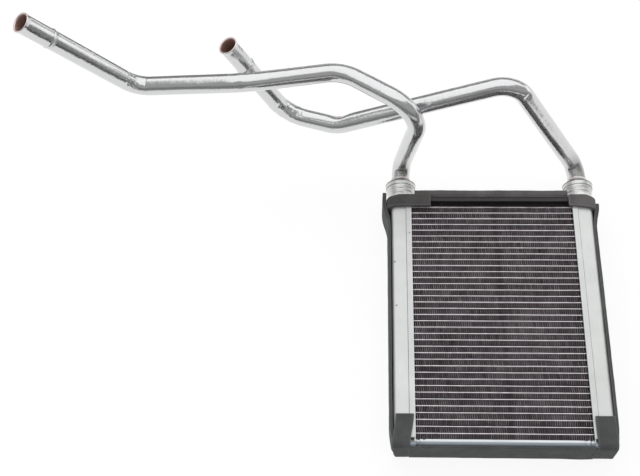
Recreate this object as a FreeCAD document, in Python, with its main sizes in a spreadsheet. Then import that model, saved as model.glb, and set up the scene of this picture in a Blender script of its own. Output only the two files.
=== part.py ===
import FreeCAD, Part
import math
import os
import Sketcher

# Heater core lying on its back, in millimetres.
# +X runs from the left tank to the right one, +Y towards the pipe end, +Z out of the front face.
# The origin lies under the centre of the core, on the plane that its back foam rests on.

SIZES = [
    ("core_width", 176.0, "over the outer walls of both tanks"),
    ("core_depth", 27.0, "over the flanges of the header plates"),
    ("tank_length", 231.0, "over both end caps"),
    ("tank_width", 17.6, "outer wall to the face of the header plate"),
    ("tank_wall", 0.8, "sheet of the tanks and headers"),
    ("tank_corner", 3.0, "outer bend of a tank"),
    ("header_flange", 4.6, "width of the flange that laps the tank"),
    ("flange_cutback", 7.4, "header flange cut short at each end"),
    ("cap_thickness", 1.2, "end cap outside the tank"),
    ("cap_plug", 3.0, "part of an end cap inside the tank"),
    ("cap_clearance", 0.1, "end cap to the inside of the tank"),
    ("tube_count", 37, "flat tubes"),
    ("tube_thickness", 1.35, "outside of a flat tube"),
    ("tube_depth", 23.2, "nose to nose"),
    ("tube_wall", 0.3, "wall of a flat tube"),
    ("tube_insertion", 2.4, "tube end past the header plate"),
    ("core_end_gap", 6.355, "tank end to the inner face of a side plate"),
    ("fin_depth", 23.0, "front edge to back edge"),
    ("fin_gauge", 0.35, "sheet of a folded fin, across the fold"),
    ("fin_end_gap", 1.2, "last fold to the header plate"),
    ("fold_count", 8, "legs of one folded fin"),
    ("plate_thickness", 1.2, "side plates"),
    ("plate_flange", 4.0, "outer height of a side plate's channel"),
    ("plate_tab", 4.0, "tab that laps the header plate"),
    ("plate_notch", 2.0, "slot in the middle of each flange"),
    ("union_height", 21.5, "tank end to the rim of the collar"),
    ("union_bowl_radius", 11.6, "lower bowl"),
    ("union_bowl_height", 8.0, "lower bowl up to the brim"),
    ("union_brim_radius", 13.2, "widest ring"),
    ("union_brim_height", 2.2, "thickness of the brim"),
    ("union_dome_height", 4.6, "brim up to the collar"),
    ("union_collar_wall", 0.7, "collar around the pipe"),
    ("socket_depth", 6.5, "pipe inside the collar"),
    ("pipe_diameter", 16.0, "outside of both pipes"),
    ("pipe_wall", 1.2, "wall of both pipes"),
    ("socket_clearance", 0.05, "pipe to the collar"),
    ("bead_setback", 29.0, "middle of the hose bead to the pipe's mouth"),
    ("bead_height", 1.3, "hose bead above the pipe"),
    ("bead_width", 2.4, "hose bead at its crest"),
    ("bend_chord_turn", 37.0, "most degrees that one chord of a bend turns"),
    ("foam_thickness", 3.0, "bands at the four corners"),
    ("side_foam", 3.4, "thickness of the side strips"),
    ("side_foam_depth", 28.0, "side strips, front to back"),
    ("side_foam_forward", 0.5, "side strips in front of the middle of the core"),
    ("side_foam_inset", 3.5, "lower tank end to the lower end of a side strip"),
    ("left_flare_inset", -1.0, "upper tank end to the top of the left strip"),
    ("right_flare_inset", 8.5, "upper tank end to the top of the right strip"),
    ("flare_start", 41.5, "upper tank end to where the strips leave the tank"),
    ("flare_full", 17.5, "upper tank end to where they clear the corner bands"),
    ("flare_lip", 2.6, "how far their tops lean further out"),
    ("band_width", 12.4, "corner bands at the pipe end"),
    ("band_setback", 1.0, "tank end to the edge of the band"),
    ("left_band_leg", 34.5, "outer wall of the tank to the left band's cut end"),
    ("right_band_leg", 20.5, "outer wall of the tank to the right band's cut end"),
    ("band_back_leg", 24.0, "outer wall of the tank to a band's end at the back"),
    ("top_foam_height", 10.2, "pad on the upper side plate"),
    ("top_foam_gap", 0.1, "bowl of a union to the end of the upper pad"),
    ("top_foam_lip", 0.9, "bulge of that pad beyond the plate"),
    ("bottom_foam_height", 5.0, "pad on the lower side plate"),
    ("bottom_foam_gap", 0.9, "face of a header plate to the end of the lower pad"),
    ("patch_width", 16.4, "patches under the tanks"),
    ("patch_front", 27.0, "front flap of a patch"),
    ("patch_front_thickness", 2.0, "front flap of a patch, pressed thin"),
    ("patch_back", 22.0, "back flap of a patch"),
    ("patch_base", 1.8, "patch under the tank end"),
    ("patch_inset", 0.8, "outer wall of the tank to the patch"),
]

# Corners of each pipe's centre line, from the rim of its collar: X, Y and Z, then the bend radius.
# The first corner stands above the collar, and the last point is the pipe's mouth.
INLET_BENDS = [
    (0.0, 16.0, 0.0, 14.0),
    (16.2, 5.0, 101.5, 27.0),
    (-51.8, 48.0, 101.5, 30.0),
    (-130.3, 21.5, 121.5, 50.0),
    (-226.3, 33.0, 101.0, 20.0),
]
INLET_MOUTH = (-297.8, 19.5, 202.5)
OUTLET_BENDS = [
    (0.0, 16.0, 0.0, 14.0),
    (-64.7, 34.5, 103.5, 23.0),
    (-215.7, 32.0, 43.5, 35.0),
    (-261.2, 49.0, 37.5, 27.0),
]
OUTLET_MOUTH = (-305.2, 52.0, 132.0)

# Radius of the circle on which the corners of each outline start, before the sizes move them
START_RADIUS = 10.0

doc = FreeCAD.newDocument("heater_core")
sheet = doc.addObject("Spreadsheet::Sheet", "sizes")
pieces = []


def fill_sheet():
    row = 1
    for name, value, note in SIZES:
        sheet.set(f"A{row}", note)
        sheet.set(f"B{row}", str(value))
        sheet.setAlias(f"B{row}", name)
        row += 1
    for pipe, bends, mouth in (
        ("inlet", INLET_BENDS, INLET_MOUTH),
        ("outlet", OUTLET_BENDS, OUTLET_MOUTH),
    ):
        for number, (east, north, up, radius) in enumerate(bends, 1):
            cells = (("east", east), ("north", north), ("up", up), ("radius", radius))
            for word, value in cells:
                sheet.set(f"A{row}", f"{pipe} bend {number}, {word}")
                sheet.set(f"B{row}", str(value))
                sheet.setAlias(f"B{row}", f"{pipe}_{word}_{number}")
                row += 1
        for word, value in zip(("east", "north", "up"), mouth):
            sheet.set(f"A{row}", f"{pipe} mouth, {word}")
            sheet.set(f"B{row}", str(value))
            sheet.setAlias(f"B{row}", f"{pipe}_{word}_mouth")
            row += 1
    doc.recompute()


fill_sheet()


def size(name):
    return float(sheet.get(name))


def worded(text):
    """Turn bare size names into references to the sheet."""
    names = [name for name, _, _ in SIZES]
    words = text.replace("(", " ( ").replace(")", " ) ").split()
    return " ".join(f"sizes.{word}" if word in names else word for word in words)


# Places that several pieces share, as expressions of the sizes
TANK_OUTER = "core_width / 2"
HEADER_FACE = "( core_width / 2 - tank_width )"
TANK_CENTRE = "( core_width / 2 - tank_width / 2 )"
MIDDLE_UP = "( foam_thickness + core_depth / 2 )"
TANK_HALF_DEPTH = "( core_depth / 2 - tank_wall )"
PLATE_INNER = "( tank_length / 2 - core_end_gap )"
TUBE_PITCH = f"( ( 2 * {PLATE_INNER} + tube_thickness ) / ( tube_count + 1 ) )"
FIN_HEIGHT = f"( {TUBE_PITCH} - tube_thickness )"
TANK_END = "( tank_length / 2 )"
COLLAR_RIM = "( tank_length / 2 + union_height )"


def origin_feature(body, role):
    return next(item for item in body.Origin.OriginFeatures if item.Role == role)


def new_body(name):
    body = doc.addObject("PartDesign::Body", name)
    body.Label = name
    body.AllowCompound = True
    pieces.append(body)
    return body


def place(thing, east="0", north="0", up="0"):
    for axis, text in (("x", east), ("y", north), ("z", up)):
        thing.setExpression(f"Placement.Base.{axis}", worded(text))


def outline(body, plane, corners, name):
    """A closed sketch outline, each corner tied to the sheet by its own two distances."""
    sketch = body.newObject("Sketcher::SketchObject", name)
    sketch.AttachmentSupport = (origin_feature(body, plane), [""])
    sketch.MapMode = "FlatFace"
    # The corners start on a circle, and their constraints move them to their places.
    count = len(corners)
    turn = 2 * math.pi / count
    ring = FreeCAD.Vector(START_RADIUS, 0, 0)
    up = FreeCAD.Vector(0, 0, 1)
    points = [FreeCAD.Rotation(up, Radian=turn * number).multVec(ring) for number in range(count)]
    for number in range(count):
        sketch.addGeometry(Part.LineSegment(points[number], points[(number + 1) % count]), False)
    for number in range(count):
        sketch.addConstraint(Sketcher.Constraint("Coincident", number, 2, (number + 1) % count, 1))
    for number, (across, along) in enumerate(corners):
        for kind, text, start in (
            ("DistanceX", across, points[number].x),
            ("DistanceY", along, points[number].y),
        ):
            index = sketch.addConstraint(Sketcher.Constraint(kind, -1, 1, number, 1, start))
            sketch.setExpression(f"Constraints[{index}]", worded(text))
    return sketch


def box_corners(low_across, low_along, high_across, high_along):
    return [
        (low_across, low_along),
        (high_across, low_along),
        (high_across, high_along),
        (low_across, high_along),
    ]


def pad(body, sketch, length):
    """Pad evenly to both sides of the sketch."""
    feature = body.newObject("PartDesign::Pad", sketch.Name + "_pad")
    feature.Profile = sketch
    feature.SideType = "Symmetric"
    feature.setExpression("Length", worded(length))
    sketch.Visibility = False
    doc.recompute()
    return feature


def pocket(body, sketch, length):
    """Cut evenly to both sides of the sketch."""
    before = body.Shape.Volume
    feature = body.newObject("PartDesign::Pocket", sketch.Name + "_cut")
    feature.Profile = sketch
    feature.SideType = "Symmetric"
    feature.setExpression("Length", worded(length))
    doc.recompute()
    if not body.Shape.Volume < before:
        raise RuntimeError(f"{feature.Name} cuts nothing")
    return feature


def repeat(body, feature, axis, occurrences, reach):
    pattern = body.newObject("PartDesign::LinearPattern", feature.Name + "_row")
    pattern.Originals = [feature]
    pattern.Direction = (origin_feature(body, axis), [""])
    pattern.setExpression("Length", worded(reach))
    pattern.setExpression("Occurrences", worded(occurrences))
    body.Tip = pattern
    doc.recompute()
    return pattern


def round_edges(body, places, radius):
    """Fillet the edges whose middles lie nearest to the given places."""
    base = body.Tip
    names = []
    for spot in places:
        gaps = [(edge.CenterOfMass - spot).Length for edge in base.Shape.Edges]
        names.append(f"Edge{gaps.index(min(gaps)) + 1}")
    feature = body.newObject("PartDesign::Fillet", body.Name + "_bend")
    feature.Base = (base, names)
    feature.setExpression("Radius", worded(radius))
    body.Tip = feature
    doc.recompute()
    return feature


def tank(name, side):
    """Half of a pressed box: outer wall and two side walls, open towards the header plate."""
    body = new_body(name)
    outer = f"{side} * {TANK_OUTER}"
    inner = f"{side} * ( {TANK_OUTER} - tank_wall )"
    mouth = f"{side} * ( {HEADER_FACE} + tank_wall )"
    inside = f"( {TANK_HALF_DEPTH} - tank_wall )"
    corners = [
        (mouth, f"-1 * {TANK_HALF_DEPTH}"),
        (outer, f"-1 * {TANK_HALF_DEPTH}"),
        (outer, TANK_HALF_DEPTH),
        (mouth, TANK_HALF_DEPTH),
        (mouth, inside),
        (inner, inside),
        (inner, f"-1 * {inside}"),
        (mouth, f"-1 * {inside}"),
    ]
    section = outline(body, "XZ_Plane", corners, name + "_section")
    pad(body, section, "tank_length - 2 * cap_thickness")
    edge_out = side * size("core_width") / 2
    half_depth = size("core_depth") / 2 - size("tank_wall")
    outside = [FreeCAD.Vector(edge_out, 0, way * half_depth) for way in (-1, 1)]
    round_edges(body, outside, "tank_corner")
    edge_in = edge_out - side * size("tank_wall")
    within = half_depth - size("tank_wall")
    hollow = [FreeCAD.Vector(edge_in, 0, way * within) for way in (-1, 1)]
    round_edges(body, hollow, "tank_corner - tank_wall")
    place(body, up=MIDDLE_UP)


def header_plate(name, side):
    """Channel that closes a tank, slotted for the tubes, its flanges lapping the tank."""
    body = new_body(name)
    face = f"{side} * {HEADER_FACE}"
    web = f"{side} * ( {HEADER_FACE} + tank_wall )"
    lip = f"{side} * ( {HEADER_FACE} + header_flange )"
    half = "core_depth / 2"
    under = f"( {half} - tank_wall )"
    corners = [
        (face, f"-1 * {half}"),
        (lip, f"-1 * {half}"),
        (lip, f"-1 * {under}"),
        (web, f"-1 * {under}"),
        (web, under),
        (lip, under),
        (lip, half),
        (face, half),
    ]
    section = outline(body, "XZ_Plane", corners, name + "_section")
    pad(body, section, "tank_length - 2 * cap_thickness")
    for end, word in ((1, "upper"), (-1, "lower")):
        trim = box_corners(
            face,
            f"{end} * ( tank_length / 2 - flange_cutback )",
            lip,
            f"{end} * tank_length / 2",
        )
        for way, face_word in ((1, "front"), (-1, "back")):
            cut = outline(body, "XY_Plane", trim, f"{name}_{word}_{face_word}_trim")
            cut.setExpression("AttachmentOffset.Base.z", worded(f"{way} * core_depth / 2"))
            pocket(body, cut, "2 * tank_wall")
    first = f"-1 * ( tube_count - 1 ) * {TUBE_PITCH} / 2"
    slot = box_corners(
        f"{first} - tube_thickness / 2",
        "-1 * tube_depth / 2",
        f"{first} + tube_thickness / 2",
        "tube_depth / 2",
    )
    slot_sketch = outline(body, "YZ_Plane", slot, name + "_slot")
    slot_sketch.setExpression("AttachmentOffset.Base.z", worded(face))
    slots = pocket(body, slot_sketch, "4 * tank_wall")
    repeat(body, slots, "Y_Axis", "tube_count", f"( tube_count - 1 ) * {TUBE_PITCH}")
    place(body, up=MIDDLE_UP)


def end_cap(name, side, end, bored):
    """Pressed cap: a plate over the tank end and a plug inside it."""
    body = new_body(name)
    outer = f"{side} * {TANK_OUTER}"
    face = f"{side} * {HEADER_FACE}"
    plate = box_corners(face, f"-1 * {TANK_HALF_DEPTH}", outer, TANK_HALF_DEPTH)
    sketch = outline(body, "XZ_Plane", plate, name + "_plate")
    middle = f"{end} * ( tank_length - cap_thickness ) / 2"
    sketch.setExpression("AttachmentOffset.Base.z", worded(f"-1 * {middle}"))
    pad(body, sketch, "cap_thickness")
    edge_out = side * size("core_width") / 2
    along = end * (size("tank_length") - size("cap_thickness")) / 2
    half_depth = size("core_depth") / 2 - size("tank_wall")
    corners = [FreeCAD.Vector(edge_out, along, way * half_depth) for way in (-1, 1)]
    round_edges(body, corners, "tank_corner")
    inner = f"{side} * ( {TANK_OUTER} - tank_wall - cap_clearance )"
    near = f"{side} * ( {HEADER_FACE} + tank_wall + cap_clearance )"
    reach = f"( {TANK_HALF_DEPTH} - tank_wall - cap_clearance )"
    # The plug's outer corners are cut flat, clear of the tank's bends.
    cut = "( tank_corner - tank_wall )"
    cut_across = f"{inner} - {side} * {cut}"
    plug = [
        (near, f"-1 * {reach}"),
        (cut_across, f"-1 * {reach}"),
        (inner, f"{cut} - {reach}"),
        (inner, f"{reach} - {cut}"),
        (cut_across, reach),
        (near, reach),
    ]
    plug_sketch = outline(body, "XZ_Plane", plug, name + "_plug")
    plug_middle = f"{end} * ( tank_length / 2 - cap_thickness / 2 - cap_plug / 2 )"
    plug_sketch.setExpression("AttachmentOffset.Base.z", worded(f"-1 * {plug_middle}"))
    pad(body, plug_sketch, "cap_thickness + cap_plug")
    if bored:
        hole = body.newObject("Sketcher::SketchObject", name + "_hole")
        hole.AttachmentSupport = (origin_feature(body, "XZ_Plane"), [""])
        hole.MapMode = "FlatFace"
        hole.setExpression("AttachmentOffset.Base.z", worded(f"-{end} * tank_length / 2"))
        centre = FreeCAD.Vector(side * (size("core_width") - size("tank_width")) / 2, 0, 0)
        bore = size("pipe_diameter") / 2 - size("pipe_wall")
        hole.addGeometry(Part.Circle(centre, FreeCAD.Vector(0, 0, 1), bore), False)
        hole.addConstraint(Sketcher.Constraint("PointOnObject", 0, 3, -1))
        index = hole.addConstraint(Sketcher.Constraint("DistanceX", -1, 1, 0, 3, centre.x))
        hole.setExpression(f"Constraints[{index}]", worded(f"{side} * {TANK_CENTRE}"))
        index = hole.addConstraint(Sketcher.Constraint("Radius", 0, bore))
        hole.setExpression(f"Constraints[{index}]", worded("pipe_diameter / 2 - pipe_wall"))
        pocket(body, hole, "4 * ( cap_thickness + cap_plug )")
    place(body, up=MIDDLE_UP)


def tube(number):
    """Flat tube, open at both ends, which reach into the tanks."""
    name = f"tube_{number:02d}"
    outer = doc.addObject("Part::Box", name + "_outside")
    bore = doc.addObject("Part::Box", name + "_bore")
    length = f"( 2 * ( {HEADER_FACE} + tank_wall + tube_insertion ) )"
    row = f"( {number - 1} - ( tube_count - 1 ) / 2 )"
    for box, wall in ((outer, "0"), (bore, "tube_wall")):
        box.setExpression("Length", worded(length))
        box.setExpression("Width", worded(f"tube_thickness - 2 * {wall}"))
        box.setExpression("Height", worded(f"tube_depth - 2 * {wall}"))
        place(
            box,
            east=f"-1 * {length} / 2",
            north=f"-1 * {row} * {TUBE_PITCH} - tube_thickness / 2 + {wall}",
            up=f"{MIDDLE_UP} - tube_depth / 2 + {wall}",
        )
    flat = doc.addObject("Part::Cut", name)
    flat.Base = outer
    flat.Tool = bore
    flat.Label = name
    pieces.append(flat)


def fins():
    """Folded strips, one between each two tubes and one outside each end tube."""
    body = new_body("fins")
    folds = int(size("fold_count"))
    half = f"( {HEADER_FACE} - fin_end_gap )"
    first = f"-1 * ( tube_count * {TUBE_PITCH} ) / 2"
    low = f"{first} - {FIN_HEIGHT} / 2"
    high = f"{first} + {FIN_HEIGHT} / 2 - fin_gauge"
    lower = []
    upper = []
    for fold in range(folds + 1):
        across = f"{half} * ( 2 * {fold} / {folds} - 1 )"
        along = low if fold % 2 == 0 else high
        lower.append((across, along))
        upper.append((across, f"{along} + fin_gauge"))
    section = outline(body, "XY_Plane", lower + upper[::-1], "fin_fold")
    strip = pad(body, section, "fin_depth")
    repeat(body, strip, "Y_Axis", "tube_count + 1", f"tube_count * {TUBE_PITCH}")
    place(body, up=MIDDLE_UP)


def side_plate(name, end):
    """Channel along the outermost fins, with a tab at each corner that laps a header plate."""
    body = new_body(name)
    inner = f"{end} * {PLATE_INNER}"
    outer = f"{end} * ( {PLATE_INNER} + plate_thickness )"
    lip = f"{end} * ( {PLATE_INNER} + plate_flange )"
    half = "core_depth / 2"
    under = f"( {half} - tank_wall )"
    corners = [
        (inner, f"-1 * {half}"),
        (inner, half),
        (lip, half),
        (lip, under),
        (outer, under),
        (outer, f"-1 * {under}"),
        (lip, f"-1 * {under}"),
        (lip, f"-1 * {half}"),
    ]
    section = outline(body, "YZ_Plane", corners, name + "_section")
    pad(body, section, f"2 * {HEADER_FACE}")
    notch = box_corners("-1 * plate_notch / 2", outer, "plate_notch / 2", lip)
    cut = outline(body, "XY_Plane", notch, name + "_notch")
    pocket(body, cut, "2 * core_depth")
    for way, word in ((1, "front"), (-1, "back")):
        tab = box_corners(f"-1 * ( {HEADER_FACE} + plate_tab )", outer, f"{HEADER_FACE} + plate_tab", lip)
        sketch = outline(body, "XY_Plane", tab, f"{name}_{word}_tab")
        sketch.setExpression("AttachmentOffset.Base.z", worded(f"{way} * ( {half} - tank_wall / 2 )"))
        pad(body, sketch, "tank_wall")
    again = outline(body, "XY_Plane", notch, name + "_tab_notch")
    pocket(body, again, "2 * core_depth")
    place(body, up=MIDDLE_UP)


def pipe_unions():
    """Two equal turned fittings: bowl, brim, dome and the collar that holds a pipe."""
    body = new_body("pipe_unions")
    bore = "( pipe_diameter / 2 - pipe_wall )"
    socket = "( pipe_diameter / 2 + socket_clearance )"
    collar = f"( {socket} + union_collar_wall )"
    brim_top = "( union_bowl_height + union_brim_height )"
    dome_top = "( union_bowl_height + union_brim_height + union_dome_height )"
    step = "( union_height - socket_depth )"
    corners = [
        (bore, "0"),
        ("union_bowl_radius", "0"),
        ("union_bowl_radius", "union_bowl_height"),
        ("union_brim_radius", "union_bowl_height"),
        ("union_brim_radius", brim_top),
        (collar, dome_top),
        (collar, "union_height"),
        (socket, "union_height"),
        (socket, step),
        (bore, step),
    ]
    section = outline(body, "XY_Plane", corners, "union_section")
    turned = body.newObject("PartDesign::Revolution", "union_turned")
    turned.Profile = section
    turned.ReferenceAxis = (section, ["V_Axis"])
    turned.Angle = 360
    doc.recompute()
    repeat(body, turned, "X_Axis", "2", f"2 * {TANK_CENTRE}")
    place(body, east=f"-1 * {TANK_CENTRE}", north="tank_length / 2", up=MIDDLE_UP)


def route_points(pipe, bend_count):
    """Corners of a pipe's centre line, from the foot of its socket to its mouth."""
    points = [FreeCAD.Vector(0, -size("socket_depth"), 0)]
    radii = []
    for number in range(1, bend_count + 1):
        place_of = [size(f"{pipe}_{word}_{number}") for word in ("east", "north", "up")]
        points.append(FreeCAD.Vector(*place_of))
        radii.append(size(f"{pipe}_radius_{number}"))
    mouth = [size(f"{pipe}_{word}_mouth") for word in ("east", "north", "up")]
    points.append(FreeCAD.Vector(*mouth))
    return points, radii


def bent_wire(points, radii):
    """Straight runs joined by bends, each bend as short chords that touch its arc."""
    corners = [points[0]]
    for number, radius in enumerate(radii, 1):
        corner = points[number]
        back = (points[number - 1] - corner).normalize()
        ahead = (points[number + 1] - corner).normalize()
        turn = math.pi - back.getAngle(ahead)
        chords = math.ceil(math.degrees(turn) / size("bend_chord_turn"))
        half_step = turn / (2 * chords)
        centre = corner + (back + ahead).normalize() * (radius / math.cos(turn / 2))
        start = corner + back * (radius * math.tan(turn / 2)) - centre
        axis = back.cross(ahead).normalize() * -1
        for chord in range(chords):
            swing = FreeCAD.Rotation(axis, math.degrees(half_step * (2 * chord + 1)))
            corners.append(centre + swing.multVec(start) * (1 / math.cos(half_step)))
    corners.append(points[-1])
    return Part.makePolygon(corners)


def swept_tube(name, route, points, radius):
    """Sweep a circle bound to the sheet along a route."""
    ring = doc.addObject("Part::Circle", name + "_ring")
    ring.setExpression("Radius", worded(radius))
    heading = FreeCAD.Rotation(FreeCAD.Vector(0, 0, 1), points[1] - points[0])
    ring.Placement = FreeCAD.Placement(points[0], heading)
    sweep = doc.addObject("Part::Sweep", name)
    sweep.Sections = [ring]
    sweep.Spine = (route, [f"Edge{number + 1}" for number in range(len(route.Shape.Edges))])
    sweep.Solid = True
    sweep.Frenet = False
    sweep.Transition = "Right corner"
    return sweep


def bent_pipe(name, pipe, bend_count, side):
    """Bent tube from its collar to its mouth, with a bead that keeps the hose on."""
    points, radii = route_points(pipe, bend_count)
    route = doc.addObject("Part::Feature", name + "_route")
    route.Shape = bent_wire(points, radii)
    outside = swept_tube(name + "_outside", route, points, "pipe_diameter / 2")
    inside = swept_tube(name + "_inside", route, points, "pipe_diameter / 2 - pipe_wall")
    heading = (points[-1] - points[-2]).normalize()
    bead = doc.addObject("Part::Cylinder", name + "_bead")
    bead.setExpression("Radius", worded("pipe_diameter / 2 + bead_height"))
    bead.setExpression("Height", worded("bead_width"))
    bead_place = points[-1] - heading * (size("bead_setback") + size("bead_width") / 2)
    bead.Placement = FreeCAD.Placement(bead_place, FreeCAD.Rotation(FreeCAD.Vector(0, 0, 1), heading))
    solid = doc.addObject("Part::Fuse", name + "_solid")
    solid.Base = outside
    solid.Tool = bead
    hollow = doc.addObject("Part::Cut", name)
    hollow.Base = solid
    hollow.Tool = inside
    hollow.Label = name
    place(hollow, east=f"{side} * {TANK_CENTRE}", north=COLLAR_RIM, up=MIDDLE_UP)
    pieces.append(hollow)
    turned_length = sum(edge.Length for edge in route.Shape.Edges)
    print(name, "centre line", round(turned_length, 1), "mm, bend radii", radii)


def top_foam():
    """Pad in the channel of the upper side plate, bulging above the corner bands."""
    body = new_body("foam_top")
    half = "core_depth / 2"
    lip_face = f"( {half} + top_foam_lip )"
    band_top = "( tank_length / 2 - band_setback )"
    channel = f"( {half} - tank_wall )"
    web = f"( {PLATE_INNER} + plate_thickness )"
    rim = f"( {PLATE_INNER} + plate_flange )"
    crown = f"( {PLATE_INNER} + plate_thickness + top_foam_height )"
    corners = [
        (web, f"-1 * {channel}"),
        (web, channel),
        (rim, channel),
        (rim, half),
        (band_top, half),
        (band_top, lip_face),
        (crown, lip_face),
        (crown, f"-1 * {lip_face}"),
        (band_top, f"-1 * {lip_face}"),
        (band_top, f"-1 * {half}"),
        (rim, f"-1 * {half}"),
        (rim, f"-1 * {channel}"),
    ]
    section = outline(body, "YZ_Plane", corners, "foam_top_section")
    pad(body, section, f"2 * ( {TANK_CENTRE} - union_bowl_radius - top_foam_gap )")
    place(body, up=MIDDLE_UP)


def bottom_foam():
    """Pad in the channel of the lower side plate."""
    body = new_body("foam_bottom")
    channel = "( core_depth / 2 - tank_wall )"
    half = "core_depth / 2"
    web = f"-1 * ( {PLATE_INNER} + plate_thickness )"
    rim = f"-1 * ( {PLATE_INNER} + plate_flange )"
    foot = f"-1 * ( {PLATE_INNER} + plate_thickness + bottom_foam_height )"
    corners = [
        (web, f"-1 * {channel}"),
        (web, channel),
        (rim, channel),
        (rim, half),
        (foot, half),
        (foot, f"-1 * {half}"),
        (rim, f"-1 * {half}"),
        (rim, f"-1 * {channel}"),
    ]
    section = outline(body, "YZ_Plane", corners, "foam_bottom_section")
    pad(body, section, f"2 * ( {HEADER_FACE} - bottom_foam_gap )")
    place(body, up=MIDDLE_UP)


def corner_band(name, side, front_leg):
    """Band folded round a tank below its union: front leg, outer leg and back leg."""
    body = new_body(name)
    half = "core_depth / 2"
    face = f"( {half} + foam_thickness )"
    tank_side = f"{side} * {TANK_OUTER}"
    outside = f"{side} * ( {TANK_OUTER} + foam_thickness )"
    front_end = f"{side} * ( {TANK_OUTER} - {front_leg} )"
    back_end = f"{side} * ( {TANK_OUTER} - band_back_leg )"
    corners = [
        (front_end, half),
        (tank_side, half),
        (tank_side, f"-1 * {half}"),
        (back_end, f"-1 * {half}"),
        (back_end, f"-1 * {face}"),
        (outside, f"-1 * {face}"),
        (outside, face),
        (front_end, face),
    ]
    section = outline(body, "XZ_Plane", corners, name + "_section")
    middle = "( tank_length / 2 - band_setback - band_width / 2 )"
    section.setExpression("AttachmentOffset.Base.z", worded(f"-1 * {middle}"))
    pad(body, section, "band_width")
    place(body, up=MIDDLE_UP)


def side_strip(name, side, flare_inset):
    """Strip along the outer wall of a tank, its top standing off over the corner band."""
    body = new_body(name)
    wall = f"{side} * {TANK_OUTER}"
    skin = f"{side} * ( {TANK_OUTER} + side_foam )"
    band = f"{side} * ( {TANK_OUTER} + foam_thickness )"
    band_skin = f"{side} * ( {TANK_OUTER} + foam_thickness + side_foam )"
    lip = f"{side} * ( {TANK_OUTER} + foam_thickness + flare_lip )"
    lip_skin = f"{side} * ( {TANK_OUTER} + foam_thickness + side_foam + flare_lip )"
    foot = f"side_foam_inset - {TANK_END}"
    bend = f"{TANK_END} - flare_start"
    clear = f"{TANK_END} - flare_full"
    top = f"{TANK_END} - {flare_inset}"
    corners = [
        (wall, foot),
        (wall, bend),
        (band, clear),
        (lip, top),
        (lip_skin, top),
        (band_skin, clear),
        (skin, bend),
        (skin, foot),
    ]
    section = outline(body, "XY_Plane", corners, name + "_section")
    pad(body, section, "side_foam_depth")
    place(body, up=f"{MIDDLE_UP} + side_foam_forward")


def tank_patch(name, side):
    """Patch folded under a tank: front flap, base and back flap."""
    body = new_body(name)
    half = "core_depth / 2"
    face = f"( {half} + foam_thickness )"
    front = f"( {half} + patch_front_thickness )"
    tank_end = "-1 * tank_length / 2"
    foot = "-1 * ( tank_length / 2 + patch_base )"
    front_top = "( patch_front - tank_length / 2 )"
    back_top = "( patch_back - tank_length / 2 )"
    corners = [
        (front_top, half),
        (tank_end, half),
        (tank_end, f"-1 * {half}"),
        (back_top, f"-1 * {half}"),
        (back_top, f"-1 * {face}"),
        (foot, f"-1 * {face}"),
        (foot, front),
        (front_top, front),
    ]
    section = outline(body, "YZ_Plane", corners, name + "_section")
    middle = f"{side} * ( {TANK_OUTER} - patch_inset - patch_width / 2 )"
    section.setExpression("AttachmentOffset.Base.z", worded(middle))
    pad(body, section, "patch_width")
    place(body, up=MIDDLE_UP)


for word, way in (("left", -1), ("right", 1)):
    tank(f"{word}_tank", way)
    header_plate(f"{word}_header_plate", way)
    end_cap(f"{word}_upper_cap", way, 1, True)
    end_cap(f"{word}_lower_cap", way, -1, False)

pipe_unions()
for number in range(1, int(size("tube_count")) + 1):
    tube(number)
fins()
side_plate("upper_side_plate", 1)
side_plate("lower_side_plate", -1)
bent_pipe("inlet_pipe", "inlet", len(INLET_BENDS), -1)
bent_pipe("outlet_pipe", "outlet", len(OUTLET_BENDS), 1)
top_foam()
bottom_foam()
corner_band("foam_band_left", -1, "left_band_leg")
corner_band("foam_band_right", 1, "right_band_leg")
side_strip("foam_strip_left", -1, "left_flare_inset")
side_strip("foam_strip_right", 1, "right_flare_inset")
tank_patch("foam_patch_left", -1)
tank_patch("foam_patch_right", 1)
doc.recompute()

for item in doc.Objects:
    if "Invalid" in item.State or "Error" in item.State:
        raise RuntimeError(f"{item.Label} did not build: {item.State}")
for piece in pieces:
    if piece.Shape.isNull() or not piece.Shape.isValid():
        raise RuntimeError(f"{piece.Label} has no valid shape")

os.makedirs("parts", exist_ok=True)
for piece in pieces:
    piece.Shape.exportStep(f"parts/{piece.Label}.step")
print(len(pieces), "pieces written")
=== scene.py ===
import math

import bpy
import numpy as np
from mathutils import Matrix, Vector, noise

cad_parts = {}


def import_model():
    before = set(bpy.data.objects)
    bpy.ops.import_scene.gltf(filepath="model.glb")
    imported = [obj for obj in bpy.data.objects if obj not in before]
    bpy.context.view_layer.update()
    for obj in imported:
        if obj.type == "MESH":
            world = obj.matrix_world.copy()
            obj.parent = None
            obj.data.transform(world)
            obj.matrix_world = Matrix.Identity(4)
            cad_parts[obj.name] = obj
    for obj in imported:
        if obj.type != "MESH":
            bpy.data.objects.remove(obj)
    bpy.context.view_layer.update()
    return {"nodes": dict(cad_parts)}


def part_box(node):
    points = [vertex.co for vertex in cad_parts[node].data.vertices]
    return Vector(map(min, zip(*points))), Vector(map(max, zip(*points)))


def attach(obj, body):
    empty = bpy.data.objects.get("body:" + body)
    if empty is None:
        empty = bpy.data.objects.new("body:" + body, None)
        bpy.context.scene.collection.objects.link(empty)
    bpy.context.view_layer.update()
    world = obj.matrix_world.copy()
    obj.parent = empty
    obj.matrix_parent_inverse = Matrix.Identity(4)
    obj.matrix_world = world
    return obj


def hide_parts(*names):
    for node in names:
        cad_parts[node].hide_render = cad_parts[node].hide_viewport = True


# The part's lengths are in millimetres. The stage's are in metres.
MM = 0.001
CORE_MIDDLE = 16.5
TANK_SIDE = 88.1
TANK_FRONT = 29.2
TUBE_COUNT = 37
TUBE_THICK = 1.35
UNION_ASIDE = 79.2
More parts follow.
